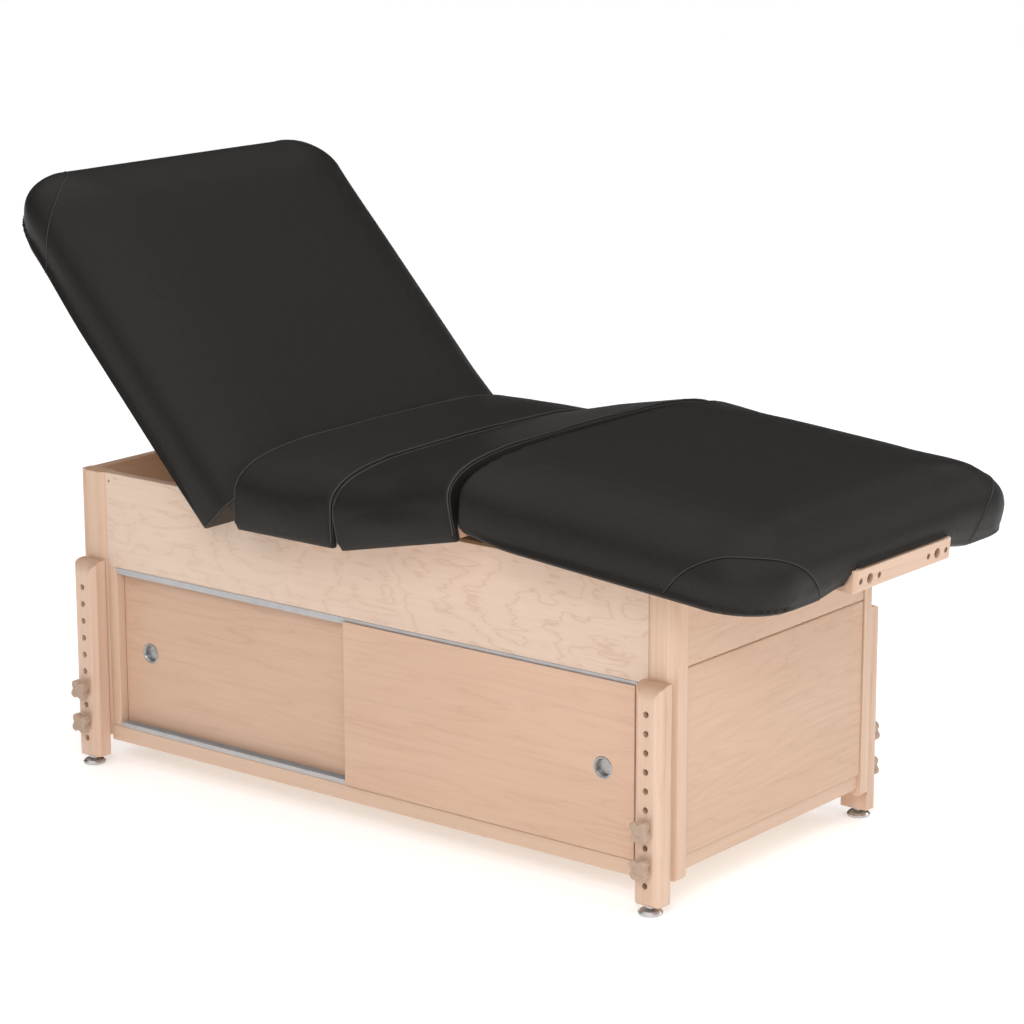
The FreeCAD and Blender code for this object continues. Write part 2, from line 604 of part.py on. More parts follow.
# Leg section: its cushion has a shallow skirt, rounded rear corners and a bevelled hem that clears the knee
rest_deck_front = REST_REAR + 3.0
rest_deck_foot = OUTLET_FACE - OUTLET_DEEP
outlet_mid = BASE_TOP + OUTLET_MID_UP
outlet_low = outlet_mid - OUTLET_HIGH / 2
outlet_high = outlet_mid + OUTLET_HIGH / 2
rest_deck = slab_with_round_end(rest_deck_front, rest_deck_foot, DECK_HALF, BASE_TOP, DECK_TOP, DECK_ROUND, 1)
pad = end_cushion(REST_LOW, REST_REAR, REST_FOOT, 1, square_end)
rounding = box(REST_REAR - 1, REST_REAR + REST_ROUND, -TOP_HALF - 1, -TOP_HALF + REST_ROUND,
               REST_LOW - 1, TOP_Z + 1)
round_mid = V(REST_REAR + REST_ROUND, -TOP_HALF + REST_ROUND, REST_LOW - 2)
rounding = rounding.cut(rod(REST_ROUND, round_mid, V(0, 0, TOP_Z)))
hem_y = -TOP_HALF - 1
hem = prism([V(REST_REAR - 1, hem_y, REST_LOW - 1), V(REST_REAR + 21, hem_y, REST_LOW - 1),
             V(REST_REAR - 1, hem_y, REST_LOW + 19)], V(0, -2 * hem_y, 0))
pad = cut_all(pad, both_sides(rounding)).cut(hem)
under = REST_LOW - 1
pad = pad.cut(slab_with_round_end(REST_REAR - 1, rest_deck_foot + 0.5, POCKET, under, DECK_TOP, DECK_ROUND, 1))
pad = pad.cut(box(rest_deck_foot - 1, OUTLET_FACE + 9, -OUTLET_LONG / 2 - 1, OUTLET_LONG / 2 + 1,
                  REST_LOW - 1, outlet_high + 0.5))
bores_at = [V(rest_deck_foot, s * OUTLET_SPACING / 2, outlet_mid) for s in (-1, 1)]
half = OUTLET_R + ROD_PLAY
rod_rooms = [box(at.x + 1 - ROD_ROOM, at.x + 1, at.y - half, at.y + half, at.z - half, at.z + half)
             for at in bores_at]
pad = cut_all(pad, rod_rooms)
rest_deck = cut_all(rest_deck, rod_rooms)
node("legrest_cushion", raised_rest(pad.cut(leaf_room).cut(knuckle_room)))

# Outlet board at the foot end, with a bore for each rod of a face rest, screwed to a cleat under the deck
board = box(rest_deck_foot, OUTLET_FACE, -OUTLET_LONG / 2, OUTLET_LONG / 2, outlet_low, outlet_high)
board = eased(board, 5.0, lambda b: near_to(b.XMin, OUTLET_FACE) and not near_to(b.ZMin, outlet_high))
cleat = box(rest_deck_foot - 30, rest_deck_foot, -OUTLET_LONG / 2, OUTLET_LONG / 2, outlet_low, BASE_TOP)
screws = []
cleat = eased(cleat, 2.0, lambda b: near_to(b.XMin, rest_deck_foot) and near_to(b.ZMin, BASE_TOP))
cleat = cut_all(cleat, rod_rooms)
for bore_at in bores_at:
    board = board.cut(rod(OUTLET_R, bore_at - V(1, 0, 0), V(OUTLET_DEEP + 2, 0, 0)))
    for dy in (-27, 27):
        at = bore_at + V(OUTLET_DEEP, dy, 0)
        shank = rod(SCREW_R, at + V(-1.8, 0, 0), V(-28.2, 0, 0))
        head = Part.makeCone(SCREW_R * 2, SCREW_R, 3.0, at + V(-1.2, 0, 0), V(-1, 0, 0))
        mouth = rod(SCREW_R * 2, at + V(1, 0, 0), V(-2.2, 0, 0))
        board = cut_all(board, [fuse([shank, head, mouth])])
        screws.append(fuse([shank, head]))
node("legrest_deck", raised_rest(rest_deck))
node("outlet_board", raised_rest(board))
node("outlet_cleat", raised_rest(cleat))
node("outlet_screws", [raised_rest(s) for s in screws])

# Hinge of the leg section: two rolled steel leaves with alternating knuckles on one long pin
step = LEAF_LONG / KNUCKLES
knee_edge = REST_PIVOT.x - KNUCKLE_R - 0.5
rest_edge = REST_PIVOT.x + KNUCKLE_R + 0.5
leaf_y = LEAF_LONG / 2
knee_leaf = [box(KNEE_FRONT - LEAF_WIDE, knee_edge, -leaf_y, leaf_y, DECK_TOP, DECK_TOP + LEAF)]
rest_leaf = [box(rest_edge, REST_REAR + LEAF_WIDE, -leaf_y, leaf_y, DECK_TOP, DECK_TOP + LEAF)]
for n in range(KNUCKLES):
    y0 = -leaf_y + n * step + ARM_GAP
    y1 = y0 + step - 2 * ARM_GAP
    knuckle = rod(KNUCKLE_R, V(REST_PIVOT.x, y0, REST_PIVOT.z), V(0, y1 - y0, 0))
    if n % 2:
        rest_leaf += [knuckle, box(REST_PIVOT.x, rest_edge, y0, y1, DECK_TOP, DECK_TOP + LEAF)]
    else:
        knee_leaf += [knuckle, box(knee_edge, REST_PIVOT.x, y0, y1, DECK_TOP, DECK_TOP + LEAF)]
pin_start = REST_PIVOT - V(0, leaf_y, 0)
bore = rod(LEAF_PIN_R + RUN_FIT, pin_start - V(0, 1, 0), V(0, LEAF_LONG + 2, 0))
node("knee_hinge_leaf", raised_knee(fuse(knee_leaf).cut(bore)))
node("legrest_hinge_leaf", raised_rest(fuse(rest_leaf).cut(bore)))
node("legrest_hinge_pin", raised_knee(rod(LEAF_PIN_R, pin_start, V(0, LEAF_LONG, 0))))


def step_hinge(pivot, head_r, reach, way):
    """Fixed arm, moving arm and pin of one near-side hinge; the moving arm runs way along X under its deck."""
    y_out = -APRON_IN
    y_mid = y_out + ARM_PLATE
    y_in = y_mid + ARM_GAP
    y_end = y_in + ARM_PLATE
    at = V(pivot.x, y_out, pivot.z)
    inner = V(pivot.x, y_in, pivot.z)
    x0 = pivot.x - ARM_HALF
    x1 = pivot.x + ARM_HALF
    fixed = fuse([rod(head_r, at, V(0, ARM_PLATE, 0)), box(x0, x1, y_out, y_mid, BASE_TOP - 90, pivot.z)])
    fixed = fixed.cut(rod(PIVOT_R, at - V(0, 1, 0), V(0, ARM_PLATE + 2, 0)))
    low = BASE_TOP - 20.0
    far = pivot.x + way * reach
    flange = pivot.x + way * 26
    moving = fuse([rod(head_r, inner, V(0, ARM_PLATE, 0)), box(x0, x1, y_in, y_end, low, pivot.z),
                   box(min(x0, far), max(x1, far), y_in, y_end, low, BASE_TOP),
                   box(min(flange, far), max(flange, far), y_in, y_in + 34, BASE_TOP - 3, BASE_TOP)])
    moving = moving.cut(rod(PIVOT_R + RUN_FIT, inner - V(0, 1, 0), V(0, ARM_PLATE + 2, 0)))
    end = V(pivot.x, y_end + ARM_GAP, pivot.z)
    pin = fuse([rod(PIVOT_R, at, end - at), rod(PIVOT_R + 2, end, V(0, 1.5, 0))])
    return fixed, moving, pin


# Step hinges of the back and the knee: steel arms on the aprons' inner faces and under the decks
fixed, moving, back_pin = step_hinge(BACK_PIVOT, BACK_HEAD_R, BACK_ARM, -1)
node("back_hinge_brackets", both_sides(fixed))
node("back_hinge_arms", [raised_back(m) for m in both_sides(moving)])
fixed, moving, knee_pin = step_hinge(KNEE_PIVOT, KNEE_HEAD_R, KNEE_ARM, 1)
node("knee_hinge_brackets", both_sides(fixed))
node("knee_hinge_arms", [raised_knee(m) for m in both_sides(moving)])
node("hinge_pins", both_sides(back_pin) + both_sides(knee_pin))

# Links of the leg section: each runs from a bracket on a cross rail to a bracket under the leg deck. The rail's
# pivot is the middle of the circle through the upper pivot's places at the flat, raised and highest settings.
upper_flat = V(LINK_AT_X, 0, BASE_TOP - LINK_DROP)
spots = [raised_rest(Part.Vertex(upper_flat), a).Point for a in (0.0, KNEE_ANGLE, KNEE_MOST)]
LINK_PIVOT = arc(spots[0], spots[1], spots[2]).Curve.Center
link_run = spots[1] - LINK_PIVOT
span = link_run.Length
across = V(0, LINK_PLATE, 0)
eye = V(0, -LINK_PLATE / 2, 0)
tip = eye + V(span, 0, 0)
bar = fuse([box(0, span, -LINK_PLATE / 2, LINK_PLATE / 2, -LINK_HALF, LINK_HALF), rod(LINK_HALF, eye, across),
            rod(LINK_HALF, tip, across)])
bar = bar.cut(rod(LINK_PIN_R + RUN_FIT, eye * 2, across * 2))
bar = bar.cut(rod(LINK_PIN_R + LINK_PLAY, tip + eye, across * 2))
bar.rotate(V(0, 0, 0), V(0, 1, 0), -math.degrees(math.atan2(link_run.z, link_run.x)))
bar.translate(V(LINK_PIVOT.x, -LINK_SIDE, LINK_PIVOT.z))
node("prop_links", both_sides(bar))
lug_in = -LINK_SIDE - LINK_PLATE / 2 - ARM_GAP
lug_out = lug_in - 5.0
pin_run = V(0, 5.0 + 2 * ARM_GAP + LINK_PLATE + 1, 0)
rail_mid = LINK_PIVOT.x - 34.0
at = V(LINK_PIVOT.x, lug_out, LINK_PIVOT.z)
lug = fuse([box(rail_mid - CROSS_WIDTH / 2, at.x, lug_out, lug_in, at.z - LINK_HALF, at.z + LINK_HALF),
            rod(LINK_HALF, at, V(0, 5, 0)), rod(LINK_PIN_R, at, pin_run)])
node("link_brackets", both_sides(lug))
at = V(LINK_AT_X, lug_out, upper_flat.z)
deck_lug = fuse([box(at.x - 14, at.x + 14, lug_out, lug_in, at.z, BASE_TOP), rod(14, at, V(0, 5, 0)),
                 box(at.x - 14, at.x + 14, lug_in - 30, lug_in, BASE_TOP - 3, BASE_TOP),
                 rod(LINK_PIN_R, at, pin_run)])
node("legrest_brackets", [raised_rest(b) for b in both_sides(deck_lug)])

# Cross rails: maple bearers between the long aprons, under the seat and behind the links
rails = []
link_rail_top = LINK_PIVOT.z - LINK_HALF
for mid, top in ((SEAT_REAR + 40, BASE_TOP), (SEAT_FRONT - 36, BASE_TOP), (rail_mid, link_rail_top)):
    x0 = mid - CROSS_WIDTH / 2
    rails.append(box(x0, x0 + CROSS_WIDTH, -APRON_IN, APRON_IN, top - CROSS_DEPTH, top))
node("cross_rails", rails)

# The handed-in frame has its origin on the floor under the middle of the raised table's overall length
bounds = Part.makeCompound(list(NODES.values())).BoundBox
middle = round((bounds.XMin + bounds.XMax) / 2.0)
for name, shape in NODES.items():
    placed = shape.copy()
    placed.translate(V(-middle, 0, 0))
    placed.exportStep("parts/%s.step" % name)
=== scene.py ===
import json
import math

import bmesh
import bpy
from mathutils import Matrix, Quaternion, Vector
from mathutils.bvhtree import BVHTree
from mathutils.kdtree import KDTree


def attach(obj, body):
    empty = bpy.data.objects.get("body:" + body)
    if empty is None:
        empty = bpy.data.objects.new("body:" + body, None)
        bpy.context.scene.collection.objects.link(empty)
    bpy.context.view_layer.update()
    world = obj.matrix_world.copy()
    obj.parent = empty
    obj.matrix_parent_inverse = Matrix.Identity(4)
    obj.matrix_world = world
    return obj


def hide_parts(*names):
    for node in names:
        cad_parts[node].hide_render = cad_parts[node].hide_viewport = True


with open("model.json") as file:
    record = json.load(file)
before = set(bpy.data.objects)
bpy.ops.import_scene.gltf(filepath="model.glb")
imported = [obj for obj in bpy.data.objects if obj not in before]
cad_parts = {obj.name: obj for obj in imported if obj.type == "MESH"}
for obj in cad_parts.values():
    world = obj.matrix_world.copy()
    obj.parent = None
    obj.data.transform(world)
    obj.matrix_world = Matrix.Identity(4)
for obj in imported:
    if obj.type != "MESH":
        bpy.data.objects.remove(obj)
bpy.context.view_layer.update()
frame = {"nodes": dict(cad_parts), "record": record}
nodes = frame["nodes"]
scene = bpy.context.scene


# ---------------------------------------------------------------- camera
# The table is seen from its near long side and its foot end, from a little above the padded top,
# through a long lens that keeps the legs upright.
lens = bpy.data.cameras.new("camera")
lens.sensor_width = 36.0
lens.lens = 113.4
lens.clip_end = 300.0
camera = bpy.data.objects.new("camera", lens)
scene.collection.objects.link(camera)
turn, drop, roll = math.radians(38.54), math.radians(13.64), math.radians(-0.14)
aim = Vector((-math.sin(turn) * math.cos(drop), math.cos(turn) * math.cos(drop), -math.sin(drop)))
camera.location = (3.441, -4.292, 1.861)
camera.rotation_mode = "QUATERNION"
camera.rotation_quaternion = aim.to_track_quat("-Z", "Y") @ Quaternion((0, 0, 1), roll)
scene.camera = camera


# ---------------------------------------------------------------- studio
# A pale floor without an edge, a white room around it, one broad soft light beside the camera, a weaker
# one that shines along the table from the foot end, and one beyond the far corner of the foot end.
scene.view_settings.view_transform = "Standard"
WHITE = (1.0, 1.0, 1.0, 1)


def shader(name):
    """A new material, with its node tree and its main shader."""
    material = bpy.data.materials.new(name)
    material.use_nodes = True
    return material, material.node_tree, material.node_tree.nodes["Principled BSDF"]


def step(tree, kind, inputs, **settings):
    """One node of a material: inputs hold values or other nodes' outputs."""
    made = tree.nodes.new("ShaderNode" + kind)
    for key, value in settings.items():
        setattr(made, key, value)
    for key, value in inputs.items():
        if isinstance(value, bpy.types.NodeSocket):
            tree.links.new(value, made.inputs[key])
        else:
            made.inputs[key].default_value = value
    return made.outputs


def noise(tree, place, scale, detail, **more):
    """An uneven tone from 0 to 1, with about scale patches to a metre."""
    return step(tree, "TexNoise", {"Vector": place, "Scale": scale, "Detail": detail, **more})[0]


def spread(tree, value, start, end, low, high):
    """A tone whose stretch from start to end is spread from low to high."""
    return step(tree, "MapRange", {0: value, 1: start, 2: end, 3: low, 4: high})[0]


def mixed(tree, share, first, second):
    """Two colours of a material, mixed by a share from 0 to 1."""
    return step(tree, "Mix", {0: share, 6: first, 7: second}, data_type="RGBA")[2]


def floor_paint():
    """Matt white paint that glows a little, as a lit studio floor does."""
    material, tree, main = shader("floor_paint")
    cloud = noise(tree, step(tree, "TexCoord", {})["Object"], 0.7, 3.0)
    colour = mixed(tree, cloud, (0.86, 0.86, 0.86, 1), (0.89, 0.89, 0.89, 1))
    tree.links.new(colour, main.inputs["Base Color"])
    main.inputs["Roughness"].default_value = 0.9
    main.inputs["Specular IOR Level"].default_value = 0.1
    main.inputs["Emission Color"].default_value = WHITE
    main.inputs["Emission Strength"].default_value = 0.40
    return material


ground = bmesh.new()
bmesh.ops.create_circle(ground, cap_ends=True, radius=90.0, segments=96)
ground_mesh = bpy.data.meshes.new("floor")
ground.to_mesh(ground_mesh)
ground.free()
floor = bpy.data.objects.new("floor", ground_mesh)
scene.collection.objects.link(floor)
ground_mesh.materials.append(floor_paint())

world = bpy.data.worlds.new("white_room")
world.use_nodes = True
room_light = world.node_tree.nodes["Background"]
sky = step(world.node_tree, "TexCoord", {})["Generated"]
sky = step(world.node_tree, "SeparateXYZ", {0: sky})["Z"]
at_horizon, overhead = 0.02, 1.50
sky = spread(world.node_tree, sky, 0.50, 0.95, at_horizon, overhead)
room_light.inputs["Color"].default_value = WHITE
world.node_tree.links.new(sky, room_light.inputs["Strength"])
scene.world = world


def soft_light(name, at, towards, size, power):
    """A lamp behind a broad white cloth."""
    lamp = bpy.data.lights.new(name, "AREA")
    lamp.shape = "RECTANGLE"
    lamp.size, lamp.size_y = size
    lamp.energy = power
    light = bpy.data.objects.new(name, lamp)
    scene.collection.objects.link(light)
    light.location = at
    light.rotation_mode = "QUATERNION"
    light.rotation_quaternion = (Vector(towards) - Vector(at)).to_track_quat("-Z", "Y")


soft_light("front_light", at=(2.2, -3.8, 2.9), towards=(0.1, 0.0, 0.45), size=(2.2, 1.8), power=92.0)
soft_light("foot_end_light", at=(4.6, 0.2, 2.6), towards=(0.2, 0.0, 0.6), size=(2.2, 2.0), power=38.0)
soft_light("far_side_light", at=(2.6, 4.2, 3.2), towards=(-0.1, 0.0, 0.6), size=(2.4, 2.0), power=36.0)


# ---------------------------------------------------------------- corner posts
# Four solid maple posts with a moulded step on the outside, sawn, planed and varnished. Their sharp
# edges are broken with a plane, and the grain runs upright.
BODY_OF = {n: body for body, names in frame["record"]["behaviour"]["bodies"].items() for n in names}
X, Y, Z = 0, 1, 2


def sum_of(tree, kind, a, b, c=None):
    """One sum of a material, such as MULTIPLY or ADD."""
    inputs = {0: a, 1: b}
    if c is not None:
        inputs[2] = c
    return step(tree, "Math", inputs, operation=kind)[0]


def shade(colour, share):
    """A darker tone of a colour."""
    return tuple(share * c for c in colour[:3]) + (1,)


def surface(tree, main, colour, rough, relief):
    """Gives the main shader of a material its colour, its roughness and its relief."""
    for socket, value in (("Base Color", colour), ("Roughness", rough), ("Normal", relief)):
        tree.links.new(value, main.inputs[socket])


def maple(name, pale, brown, run, layers=None, flame=0.3, ring=(1.6, 9.0, 12.0), teeth=1.5, thin=0.86,
          streak=(1.6, 10.0, 0.7), fleck=0.2):
    """Varnished maple in tones from pale to brown. run is the way of the grain, or the two ways of rails
    that meet at corners; layers is the thin way of a veneered ply. The cut growth rings show as lines:
    ring is their fineness along and across the grain and their number, teeth how ragged, thin how
    narrow and flame how dark they are. streak holds the fineness along and across the grain and the
    strength of broader tones, and fleck the strength of the pores."""
    material, tree, main = shader(name)
    ways = run if isinstance(run, tuple) else (run,)
    place = step(tree, "TexCoord", {})
    board = step(tree, "NewGeometry", {})["Random Per Island"]
    next_in_log = (7.3, 5.1, 3.7)
    shift = step(tree, "VectorMath", {0: next_in_log, "Scale": board}, operation="SCALE")[0]
    stock = step(tree, "VectorMath", {0: place["Object"], 1: shift}, operation="ADD")[0]

    def grain(along, across, detail, **more):
        scale = [along if axis in ways else across for axis in (X, Y, Z)]
        return noise(tree, step(tree, "Mapping", {"Vector": stock, "Scale": scale})[0], 1.0, detail, **more)

    growth = grain(ring[0], ring[1], 3.0, Roughness=0.46, Distortion=0.25)
    ragged = grain(6.0, 95.0, 2.0)
    growth = sum_of(tree, "MULTIPLY_ADD", ragged, teeth, sum_of(tree, "MULTIPLY", growth, ring[2]))
    growth = sum_of(tree, "PINGPONG", growth, 1.0)
    line = spread(tree, growth, thin, 0.99, 0.0, 1.0)
    fibre = grain(5.0, 210.0, 4.0)
    broad = grain(streak[0], streak[1], 2.5)
    pore = spread(tree, grain(60.0, 620.0, 1.0), 0.64, 0.78, 0.0, fleck)

    of_fibre, of_board, of_ring = 0.60, 0.20, 0.16
    tone = sum_of(tree, "MULTIPLY_ADD", fibre, of_fibre, -0.10)
    tone = sum_of(tree, "ADD", tone, sum_of(tree, "MULTIPLY_ADD", broad, streak[2], -0.5 * streak[2]))
    tone = sum_of(tree, "ADD", tone, sum_of(tree, "MULTIPLY_ADD", board, of_board, -0.5 * of_board))
    tone = sum_of(tree, "MULTIPLY_ADD", growth, of_ring, tone)
    colour = mixed(tree, step(tree, "Clamp", {0: tone})[0], pale, brown)
    ring_brown = (0.80 * brown[0], 0.68 * brown[1], 0.58 * brown[2], 1)
    fade = spread(tree, broad, 0.35, 0.65, 0.35 * flame, flame)
    colour = mixed(tree, sum_of(tree, "MULTIPLY", line, fade), colour, ring_brown)
    colour = mixed(tree, sum_of(tree, "MULTIPLY", pore, 0.6), colour, shade(brown, 0.55))

    facing = step(tree, "SeparateXYZ", {0: place["Normal"]})
    if layers is None and len(ways) == 1:
        end_on = sum_of(tree, "ABSOLUTE", facing[run], 0.0)
        end_grain = (0.80 * brown[0], 0.76 * brown[1], 0.72 * brown[2], 1)
        colour = mixed(tree, spread(tree, end_on, 0.3, 0.9, 0.0, 0.55), colour, end_grain)
    elif layers is not None:
        plies_in_a_metre = 420.0
        edge = sum_of(tree, "LESS_THAN", sum_of(tree, "ABSOLUTE", facing[layers], 0.0), 0.6)
        depth = step(tree, "SeparateXYZ", {0: place["Object"]})[layers]
        ply = sum_of(tree, "PINGPONG", sum_of(tree, "MULTIPLY", depth, plies_in_a_metre), 1.0)
        ply = spread(tree, ply, 0.35, 0.65, 0.0, 1.0)
        colour = mixed(tree, edge, colour, mixed(tree, ply, shade(pale, 0.92), shade(brown, 0.66)))

    rough = spread(tree, fibre, 0.3, 0.7, 0.36, 0.48)
    height = sum_of(tree, "SUBTRACT", fibre, pore)
    relief = step(tree, "Bump", {"Strength": 0.16, "Distance": 0.0005, "Height": height})[0]
    surface(tree, main, colour, rough, relief)
    main.inputs["Specular IOR Level"].default_value = 0.35
    main.inputs["Coat Weight"].default_value = 0.10
    main.inputs["Coat Roughness"].default_value = 0.25
    return material


def break_edges(node, width, material, segments=2):
    """A copy of a wooden piece whose sharp edges are broken, as a plane and sandpaper leave them."""
    still_flat, sharp_from, smooth_below = math.radians(0.6), math.radians(35), math.radians(33)
    shape = bmesh.new()
    shape.from_mesh(nodes[node].data)
    bmesh.ops.remove_doubles(shape, verts=shape.verts, dist=1e-5)
    bmesh.ops.dissolve_limit(shape, angle_limit=still_flat, verts=shape.verts, edges=shape.edges)
    sharp = [e for e in shape.edges if len(e.link_faces) == 2 and e.calc_face_angle(0.0) > sharp_from]
    bmesh.ops.bevel(shape, geom=sharp, offset=width, segments=segments, profile=0.5, affect="EDGES",
                    clamp_overlap=False, harden_normals=False, offset_type="OFFSET")
    mesh = bpy.data.meshes.new(node + "_finished")
    shape.to_mesh(mesh)
    shape.free()
    mesh.materials.clear()
    mesh.materials.append(material)
    for face in mesh.polygons:
        face.use_smooth = True
        face.material_index = 0
    mesh.set_sharp_from_angle(angle=smooth_below)
    piece = bpy.data.objects.new(node + "_finished", mesh)
    scene.collection.objects.link(piece)
    even = piece.modifiers.new("even_shading", "WEIGHTED_NORMAL")
    even.keep_sharp = True
    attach(piece, BODY_OF[node])
    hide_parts(node)


def dress(node, material):
    """A piece that keeps its own shape and gets its real finish."""
    mesh = nodes[node].data
    mesh.materials.clear()
    mesh.materials.append(material)
    for face in mesh.polygons:
        face.material_index = 0


post_maple = maple("post_maple", (0.76, 0.545, 0.405, 1), (0.63, 0.405, 0.275, 1), Z, flame=0.26,
                   ring=(0.8, 30.0, 7.0), streak=(1.4, 42.0, 1.1))
break_edges("corner_posts", 0.0015, post_maple, segments=3)


# ---------------------------------------------------------------- threaded inserts
# Turned bushes of zinc-plated steel, driven into the posts from behind. The bolts of the knobs screw
# into them, which holds the legs.
def plated_steel(name, colour, roughness, metal=1.0, brush=0.10):
    """Plated or polished metal with fine marks along the table; brush is how deep they are."""
    material, tree, main = shader(name)
    place = step(tree, "TexCoord", {})["Object"]
    marks = (6.0, 260.0, 260.0)
    scratch = noise(tree, step(tree, "Mapping", {"Vector": place, "Scale": marks})[0], 1.0, 4.0)
    bloom = noise(tree, place, 38.0, 3.0)
    rough = spread(tree, scratch, 0.3, 0.7, roughness - 0.08, roughness + 0.10)
    relief = step(tree, "Bump", {"Strength": brush, "Distance": 0.0003, "Height": scratch})[0]
    surface(tree, main, mixed(tree, bloom, colour, shade(colour, 0.72)), rough, relief)
    main.inputs["Metallic"].default_value = metal
    return material


zinc = plated_steel("zinc_plate", (0.62, 0.62, 0.60, 1), 0.36)
dress("threaded_inserts", zinc)


# ---------------------------------------------------------------- legs
# Four slats of solid maple with a rounded nose and a row of ten bored holes, planed and varnished, with
# upright grain. They slide along the posts to set the height.
leg_maple = maple("leg_maple", (0.775, 0.560, 0.430, 1), (0.63, 0.405, 0.280, 1), Z, flame=0.32,
                  ring=(0.8, 30.0, 7.0), streak=(1.4, 42.0, 1.3))
CORNERS = ("head_near", "foot_near", "head_far", "foot_far")
for corner in CORNERS:
    break_edges("leg_" + corner, 0.0014, leg_maple, segments=3)


# ---------------------------------------------------------------- glides
# Pressed and chromed steel discs on a screwed stem, one under each leg. They are turned by hand to
# level the table.
chrome = plated_steel("glide_chrome", (0.66, 0.655, 0.65, 1), 0.26, metal=0.8, brush=0.02)
for corner in CORNERS:
    dress("glide_" + corner, chrome)


# ---------------------------------------------------------------- knobs
# Four-lobed knobs moulded in tan plastic over a steel bolt, with a plain round boss. Two of them clamp
# each leg to its post, through the holes of the leg.
def moulded(name, colour):
    """Moulded plastic with a finely sparked surface."""
    material, tree, main = shader(name)
    place = step(tree, "TexCoord", {})["Object"]
    cloud = noise(tree, place, 55.0, 3.0)
    spark = noise(tree, place, 1500.0, 2.0)
    rough = spread(tree, spark, 0.3, 0.7, 0.42, 0.56)
    relief = step(tree, "Bump", {"Strength": 0.12, "Distance": 0.0003, "Height": spark})[0]
    surface(tree, main, mixed(tree, cloud, colour, shade(colour, 0.84)), rough, relief)
    main.inputs["Subsurface Weight"].default_value = 0.05
    return material


tan_plastic = moulded("knob_plastic", (0.52, 0.375, 0.280, 1))
for corner in CORNERS:
    for place in ("upper", "lower"):
        dress("knob_" + corner + "_" + place, tan_plastic)


# ---------------------------------------------------------------- aprons
# Long boards of maple-veneered ply between the posts, with the grain along the table. The veneer shows the
# flame of a flat-cut log, and the cut upper edge shows the plies.
apron_ply = maple("apron_ply", (0.80, 0.620, 0.495, 1), (0.66, 0.475, 0.355, 1), X, layers=Y, flame=0.34,
                  ring=(3.4, 4.2, 30.0), teeth=3.2, thin=0.80, streak=(1.2, 5.0, 0.6), fleck=0.12)
break_edges("side_aprons", 0.0008, apron_ply)


# ---------------------------------------------------------------- end boards
# The upper and the lower board of each end are maple-veneered ply with the grain across the table. They
# stand between the posts, with a bevelled joint between them.
end_ply = maple("end_ply", (0.73, 0.515, 0.380, 1), (0.60, 0.385, 0.262, 1), Y, layers=X, flame=0.19,
                ring=(1.5, 12.0, 20.0), streak=(1.6, 8.0, 0.6))
break_edges("end_aprons", 0.0008, end_ply)
panel_ply = maple("panel_ply", (0.72, 0.495, 0.360, 1), (0.585, 0.375, 0.252, 1), Y, layers=X, flame=0.19,
                  ring=(1.6, 11.0, 22.0), streak=(1.8, 7.0, 0.7))
break_edges("end_panels", 0.0022, panel_ply)


# ---------------------------------------------------------------- bottom rails
# Solid maple rails close the cabinet at the bottom on all four sides, from post to post. They are planed
# and varnished, and the grain runs along each of them.
rail_maple = maple("rail_maple", (0.73, 0.515, 0.380, 1), (0.60, 0.395, 0.268, 1), (X, Y), flame=0.20,
                   ring=(0.8, 20.0, 6.0))
break_edges("bottom_rails", 0.0012, rail_maple)


# ---------------------------------------------------------------- inside of the cabinet
# Floor and top of birch ply, cross rails of maple under the hinges, and a strip of maple as a jamb beside
# each door, all sawn, sanded and varnished.
birch_ply = maple("birch_ply", (0.72, 0.56, 0.41, 1), (0.58, 0.42, 0.28, 1), X, layers=Z, flame=0.14,
                  ring=(0.7, 6.0, 9.0), teeth=0.8, streak=(1.0, 6.0, 0.8))
dress("cabinet_floor", birch_ply)
dress("cabinet_top", birch_ply)
cross_maple = maple("cross_maple", (0.74, 0.53, 0.38, 1), (0.60, 0.40, 0.27, 1), Y)
dress("cross_rails", cross_maple)
break_edges("door_jambs", 0.001, post_maple)


# ---------------------------------------------------------------- door tracks
# Drawn aluminium channels with two slots and a satin surface, one above and one below the doors of each
# long side, let into the cabinet.
satin_aluminium = plated_steel("satin_aluminium", (0.60, 0.595, 0.60, 1), 0.46, metal=0.45)
dress("door_tracks", satin_aluminium)


# ---------------------------------------------------------------- doors
# Two sliding doors of maple-veneered ply on each long side, with the grain along the table. They stand
# in the two slots of the tracks and pass each other.
DOORS = [side + "_" + place for side in ("near", "far") for place in ("front", "rear")]
door_ply = maple("door_ply", (0.715, 0.480, 0.345, 1), (0.575, 0.358, 0.240, 1), X, layers=Y, flame=0.20,
                 ring=(1.2, 12.0, 22.0), streak=(2.2, 6.0, 0.7), fleck=0.12)
for door in DOORS:
    break_edges("door_" + door, 0.0007, door_ply)


# ---------------------------------------------------------------- door pulls
# Round cups pressed from sheet metal and polished, one let into each door as a hold for the fingers.
# Each sits in a bored seat.
polished = plated_steel("polished_cup", (0.46, 0.45, 0.44, 1), 0.32, metal=0.75, brush=0.015)
for door in DOORS:
    dress("pull_" + door, polished)


# ---------------------------------------------------------------- decks and battens
# Each section of the top is glued to a deck of birch ply. Maple battens along the sides stiffen the decks
# of the back, the seat and the knee from below.
for section in ("back", "seat", "knee", "legrest"):
    dress(section + "_deck", birch_ply)
for section in ("back", "seat", "knee"):
    dress(section + "_battens", rail_maple)


